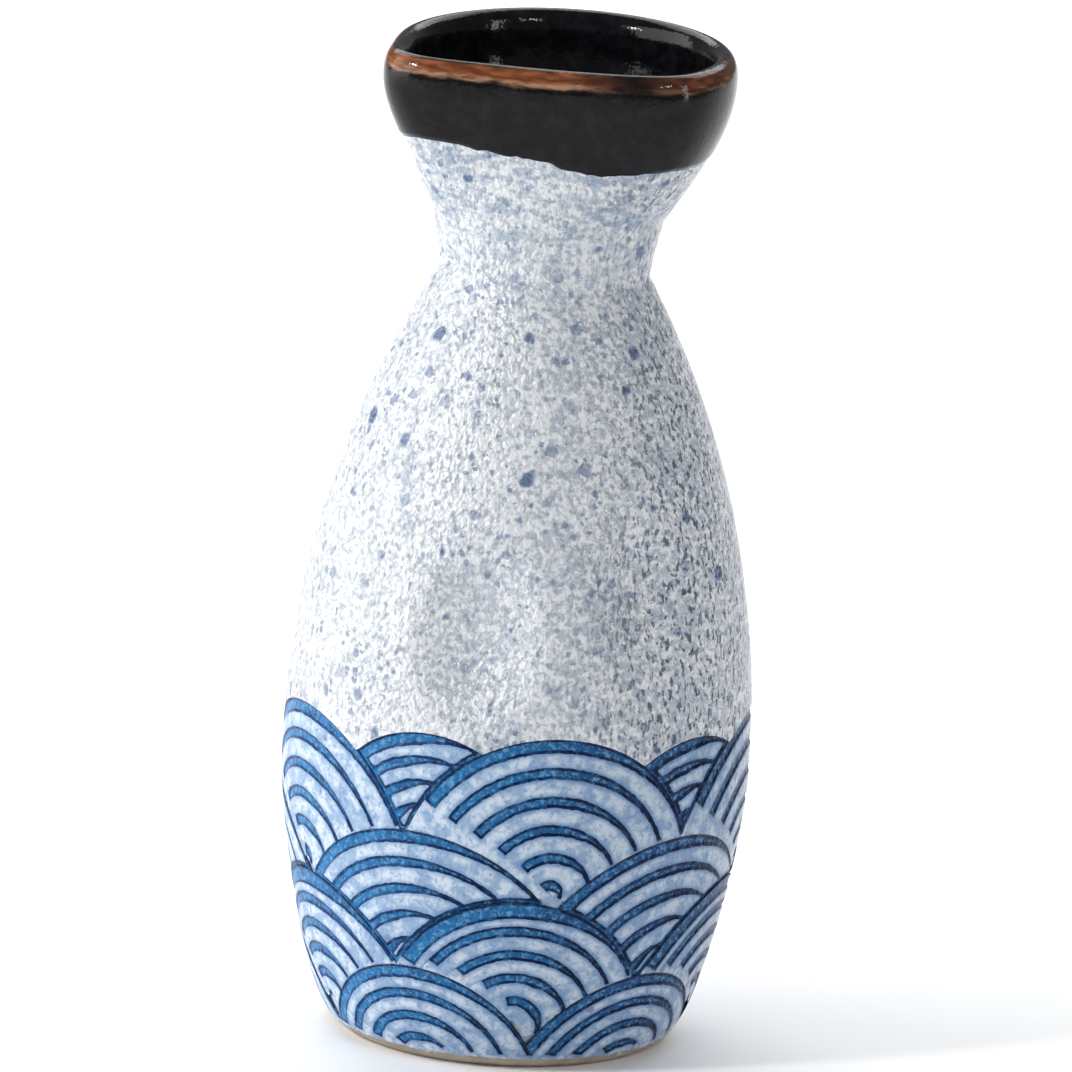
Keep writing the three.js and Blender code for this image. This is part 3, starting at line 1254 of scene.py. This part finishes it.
@dataclass
class WaveGround:
    """The pale ground of the wave band, on which the fans lie."""

    layers: Layers
    high: Edge
    columns: int = 320
    rows: int = 60
    shallow: float = 0.37
    deep: float = 0.62
    sinks: Tuple[float, float] = (2.2, 4.0)

    def build(self, material: bpy.types.Material) -> bpy.types.Object:
        """Builds and dresses the ground.

        Args:
            material: the wave glaze without lines.

        Returns:
            The piece.
        """
        form = self.layers.form
        angle = round_angles(self.columns)[None]
        share = np.linspace(0.0, 1.0, self.rows)[:, None]
        low = form.run_at(np.full_like(angle, self.layers.bare_foot))
        high = form.run_at(self.high(angle[0]) - 0.4)[None]
        height = form.height_at(low + (high - low) * share)
        sunk = self.shallow + (self.deep - self.shallow) * smooth(height, *self.sinks)
        face = form.on_wall(angle, height, sunk)
        back = form.on_wall(angle, height[::-6], sunk[::-6] + 0.05)
        piece = Sheet(np.concatenate([face, back]), closes=True).build("wave_ground")
        dress(piece, material, Slot.WAVE, "wave_band")
        return piece


@dataclass
class MouthGlaze:
    """The dark coat: up the collar from its dip edge, over the lip and down into the throat."""

    layers: Layers
    low: Edge
    columns: int = 420
    rows: int = 60
    lip_steps: int = 22
    rust_towards: float = -135.0
    bare_at: float = -62.0
    bare_width: float = 17.0

    def build(self, material: bpy.types.Material) -> bpy.types.Object:
        """Builds and dresses the coat.

        Args:
            material: the dark glaze with its rust lip.

        Returns:
            The piece.
        """
        layers, form = self.layers, self.layers.form
        angle = round_angles(self.columns)[None]
        share = np.linspace(0.0, 1.0, self.rows)[:, None]
        low = self.low(angle[0])[None]
        outside = low + (form.lip_start - low) * share
        lap = smooth(outside - low, 0.0, 0.7)
        proud = -layers.dark_step * np.sqrt(lap) + 0.12 * (1.0 - lap)
        rising = form.on_wall(angle, outside, proud)
        throat = form.neck_height + layers.lining_above_neck + layers.clearance / 2.0
        inside = (form.lip_start + (throat - form.lip_start) * share) * np.ones_like(angle)
        falling = form.on_wall(angle, inside, layers.lining_inside(inside))
        inner_depth = float(layers.lining_inside(np.array(form.lip_start)))
        back_depth = float(layers.lining_outside(np.array(form.lip_start)))
        under_top = form.height - layers.dark_step - layers.pale_coat
        over = layers.lip(-layers.dark_step, inner_depth, form.height, self.lip_steps)
        under = layers.lip(layers.pale_coat, back_depth, under_top, self.lip_steps)
        lip = form.put(angle, over[:, :1], over[:, 1:])
        under_lip = form.put(angle, under[::-1, :1], under[::-1, 1:])
        inside_back = form.on_wall(angle, inside[::-10], layers.lining_outside(inside[::-10]))
        outside_back = form.on_wall(angle, outside[::-10], np.full((1, 1), layers.pale_coat))
        points = np.concatenate([rising, lip, falling, inside_back, under_lip, outside_back])
        legs = np.linalg.norm(np.diff(points[:, 0], axis=0), axis=-1) / MM
        run = np.concatenate([[0.0], np.cumsum(legs)])
        crest = run[self.rows + self.lip_steps // 2]
        over_lip = np.where(np.arange(len(run)) < 2 * self.rows + self.lip_steps, crest - run, -9.0)
        over_lip = np.repeat(over_lip[:, None], self.columns, axis=1)
        towards = np.cos(turn_between(angle, math.radians(self.rust_towards)))
        aside = turn_between(angle, math.radians(self.bare_at)) / math.radians(self.bare_width)
        rust = np.clip(0.62 + 0.45 * towards - 0.7 * np.exp(-(aside**2)), 0.0, 1.0)
        rust = np.repeat(rust, len(points), axis=0)
        marks = {"over_lip": over_lip, "rust": rust}
        piece = Sheet(points, closes=True, marks=marks).build("mouth_glaze_skin")
        dress(piece, material, Slot.DARK, "mouth_glaze")
        return piece


@dataclass
class TurnedPiece:
    """A layer that goes through the axis: the lining, and the clay wall itself."""

    layers: Layers
    columns: int = 240
    rows: int = 90

    def _bowl(self, depth: Callable[[Array], Array], raised: float) -> Array:
        """The inside bottom, from the wall down to the axis.

        Args:
            depth: the depth of the surface at each height.
            raised: how far it lies over the clay floor.

        Returns:
            Radius and height, two numbers a point.
        """
        layers = self.layers
        level = layers.floor + raised
        start = layers.floor + layers.floor_round
        wide = float(layers.form.radius(np.array(start)) - depth(np.array(start)))
        turn = np.linspace(0.0, math.pi / 2.0, 14)
        x = wide - layers.floor_round + layers.floor_round * np.cos(turn)
        y = start - (start - level) * np.sin(turn)
        corner = np.stack([x, y], axis=-1)
        inner = x[-1] * np.linspace(1.0, 0.0, 8)[1:]
        return np.concatenate([corner, np.stack([inner, np.full_like(inner, level)], axis=-1)])

    def _wall(self, depth: Callable[[Array], Array], low: float, high: float) -> Array:
        """A wall between two heights, as radius and height for each point."""
        height = np.linspace(low, high, self.rows)
        return np.stack([self.layers.form.radius(height) - depth(height), height], axis=-1)

    def _turned(self, profile: Array, name: str) -> bpy.types.Object:
        """Turns a profile from the axis back to the axis into an object.

        Args:
            profile: radius and height, two numbers a point.
            name: the object's name.

        Returns:
            The object.
        """
        angle = round_angles(self.columns)[None]
        points = self.layers.form.put(angle, profile[:, :1], profile[:, 1:])
        return Sheet(points).build(name)

    def lining(self, material: bpy.types.Material) -> bpy.types.Object:
        """Builds and dresses the lining.

        Args:
            material: the dark glaze.

        Returns:
            The piece.
        """
        layers = self.layers
        start = layers.floor + layers.floor_round
        top = layers.form.neck_height + layers.lining_above_neck - layers.clearance / 2.0
        profile = np.concatenate([
            self._bowl(layers.lining_outside, layers.clearance)[::-1],
            self._wall(layers.lining_outside, start, top)[1:],
            self._wall(layers.lining_inside, start, top)[::-1][:-1],
            self._bowl(layers.lining_inside, layers.clearance + layers.lining_coat),
        ])
        piece = self._turned(profile, "lining_skin")
        dress(piece, material, Slot.DARK, "lining_glaze")
        return piece

    def clay(self, material: bpy.types.Material) -> bpy.types.Object:
        """Builds and dresses the clay wall with its foot ring.

        Args:
            material: the bare clay.

        Returns:
            The piece.
        """
        layers, form = self.layers, self.layers.form
        foot_outer = form.foot_radius - layers.clay_face
        foot_inner = foot_outer - layers.foot_ring_width
        soft = 0.4
        foot = np.array([
            (0.0, layers.foot_recess),
            (foot_inner - layers.foot_recess - soft, layers.foot_recess),
            (foot_inner - soft, soft),
            (foot_inner, 0.0),
            (foot_outer - soft, 0.0),
            (foot_outer, soft * 0.4),
        ])
        lip_top = form.height - layers.dark_step - layers.pale_coat - layers.clearance
        inner = float(layers.clay_inside(np.array(form.lip_start)))
        start = layers.floor + layers.floor_round
        profile = np.concatenate([
            foot,
            self._wall(layers.clay_outside, layers.bare_foot * 0.5, form.lip_start),
            layers.lip(layers.clay_face, inner, lip_top, 12),
            self._wall(layers.clay_inside, start, form.lip_start)[::-1][:-1],
            self._bowl(layers.clay_inside, 0.0),
        ])
        piece = self._turned(profile, "clay_wall")
        dress(piece, material, Slot.STONEWARE, "clay_body")
        return piece


# ---- The studio ----


@dataclass(frozen=True)
class Softbox:
    """A rectangular light that faces the bottle, or a place on the table behind it."""

    name: str
    azimuth: float
    elevation: float
    distance: float
    width: float
    height: float
    brightness: float
    behind: float = 0.0

    def light(self, middle: Vector) -> None:
        """Hangs the light and turns it towards its aim.

        Args:
            middle: the middle of the bottle.
        """
        aim = middle + Vector((0.0, self.behind, 0.0))
        lamp = bpy.data.lights.new(self.name, "AREA")
        lamp.shape = "RECTANGLE"
        lamp.size, lamp.size_y = self.width, self.height
        lamp.energy = self.brightness * math.pi * self.width * self.height
        holder = bpy.data.objects.new(self.name, lamp)
        across, up = math.radians(self.azimuth), math.radians(self.elevation)
        away = Vector((math.sin(across) * math.cos(up), -math.cos(across) * math.cos(up), math.sin(up)))
        holder.location = aim + away * self.distance
        holder.rotation_euler = (-away).to_track_quat("-Z", "Y").to_euler()
        bpy.context.scene.collection.objects.link(holder)


@dataclass(frozen=True)
class Studio:
    """The pale table, the soft lights and the camera."""

    middle: Vector
    distance: float = 2.0
    elevation: float = 13.3
    roll: float = 3.4
    lens: float = 454.0
    aside: float = 0.0011
    room: float = 0.22
    softboxes: Tuple[Softbox, ...] = (
        Softbox("key_left", -86.0, 16.0, 1.1, 1.2, 1.1, 3.3),
        Softbox("strip_right", 58.0, 16.0, 1.2, 0.12, 0.9, 9.0),
        Softbox("table_behind", 180.0, 68.0, 1.3, 2.4, 1.5, 3.0, 0.8),
        Softbox("window_left", -58.0, 34.0, 1.2, 0.10, 0.10, 130.0),
        Softbox("window", 30.0, 38.0, 1.3, 0.16, 0.10, 34.0),
    )

    def table(self) -> None:
        """Lays the table under the bottle."""
        half = 6.0
        corners = np.array([(-half, -half, 0.0), (half, -half, 0.0), (-half, half, 0.0), (half, half, 0.0)])
        table = Sheet(corners.reshape(2, 2, 3), wraps=False).build("table")
        table.data.materials.append(TablePaper().material())
        table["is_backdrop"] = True

    def air(self) -> None:
        """Sets the even light of the white room."""
        world = bpy.data.worlds.new("room")
        world.use_nodes = True
        background = world.node_tree.nodes["Background"]
        background.inputs["Color"].default_value = (0.95, 0.97, 1.0, 1.0)
        background.inputs["Strength"].default_value = self.room
        bpy.context.scene.world = world

    def camera(self) -> None:
        """Places the camera, rolled a little so that the bottle leans to the right."""
        up = math.radians(self.elevation)
        aim = self.middle + Vector((self.aside, 0.0, 0.0))
        away = Vector((0.0, -math.cos(up), math.sin(up)))
        lens = bpy.data.cameras.new("camera")
        lens.lens = self.lens
        lens.clip_start, lens.clip_end = 0.05, 30.0
        eye = bpy.data.objects.new("camera", lens)
        upright = Matrix.Rotation(math.pi / 2.0 - up, 4, "X")
        rolled = upright @ Matrix.Rotation(math.radians(self.roll), 4, "Z")
        eye.matrix_world = Matrix.Translation(aim + away * self.distance) @ rolled
        bpy.context.scene.collection.objects.link(eye)
        bpy.context.scene.camera = eye

    def set_up(self) -> None:
        """Sets up the whole studio."""
        self.camera()
        self.table()
        self.air()
        for softbox in self.softboxes:
            softbox.light(self.middle)
        bpy.context.scene.view_settings.view_transform = "Standard"
        bpy.context.scene.view_settings.look = "None"


def main() -> None:
    """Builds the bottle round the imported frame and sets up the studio."""
    logging.basicConfig(level=logging.INFO, format="%(name)s %(message)s")
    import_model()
    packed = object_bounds()
    low, high = (Vector(corner) for corner in packed)
    form = Form(height=high.z / MM, belly_radius=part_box("wave_band")[1].x / MM)
    layers = Layers(form, bare_foot=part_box("wave_band")[0].z / MM)
    dip = DipEdge(form)
    waves = WaveField(form)

    Studio(middle=Vector((0.0, 0.0, (low.z + high.z) / 2.0))).set_up()

    turned = TurnedPiece(layers)
    turned.clay(BareClay().material())
    turned.lining(DarkGlaze().material(lip=False))
    MouthGlaze(layers, dip).build(DarkGlaze().material(lip=True))
    BodyGlaze(layers, waves.edge, dip).build(PaleGlaze().material())
    WaveGround(layers, waves.edge).build(WaveGlaze().material(lines=False))
    lined = WaveGlaze().material(lines=True)
    for number, fan in enumerate(waves.fans, start=1):
        FanPiece(waves, fan, number).build(lined)


if __name__ == "__main__":
    main()
